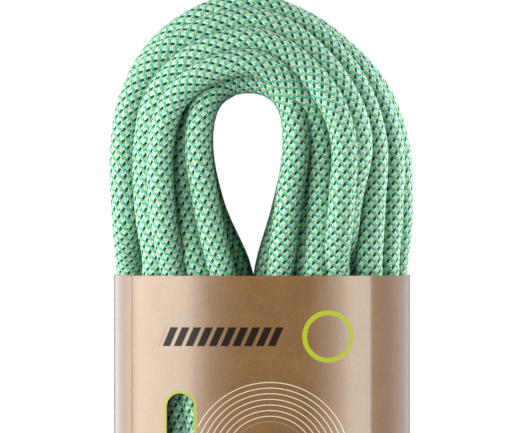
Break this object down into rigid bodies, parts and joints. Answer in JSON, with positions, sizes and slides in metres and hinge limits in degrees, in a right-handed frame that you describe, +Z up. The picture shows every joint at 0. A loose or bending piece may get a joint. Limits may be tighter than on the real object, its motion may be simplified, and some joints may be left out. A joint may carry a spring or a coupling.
{
  "type": "climbing rope hank in a card sleeve",
  "caption": "Braided climbing rope wound into an upright hank with an eye at each end, held by a windowed card sleeve that slides off.",
  "frame": {"origin": "top of the hank's upper eye, level with the middle of the card, where a peg holds it", "axes": "+Z up along the turns, +X to the right across the card's front, +Y out of the card's back"},
  "size_m": [0.1079, 0.1076, 0.4876],
  "materials": {
    "rope_sheath": "braided polyamide sheath",
    "shrink_tube": "heat-shrink tube",
    "woven_tape": "woven polyester tape",
    "kraft_card": "varnished kraft board",
    "leaflet_paper": "uncoated offset paper"
  },
  "bodies": {
    "rope": {"rope_hank": "rope_sheath", "rope_tail_1": "rope_sheath", "rope_tail_2": "rope_sheath", "end_band_1": "shrink_tube", "end_band_2": "shrink_tube", "upper_tie": "woven_tape", "lower_tie": "woven_tape"},
    "sleeve": {"sleeve_card": "kraft_card"},
    "leaflet": {"leaflet": "leaflet_paper"}
  },
  "joints": [
    {"name": "sleeve_slide", "type": "slide", "parent": "rope", "child": "sleeve", "axis": [0, 0, -1], "range_m": [0, 0.395]},
    {"name": "leaflet_slide", "type": "slide", "parent": "sleeve", "child": "leaflet", "axis": [0, 0, -1], "range_m": [0, 0.24]}
  ]
}
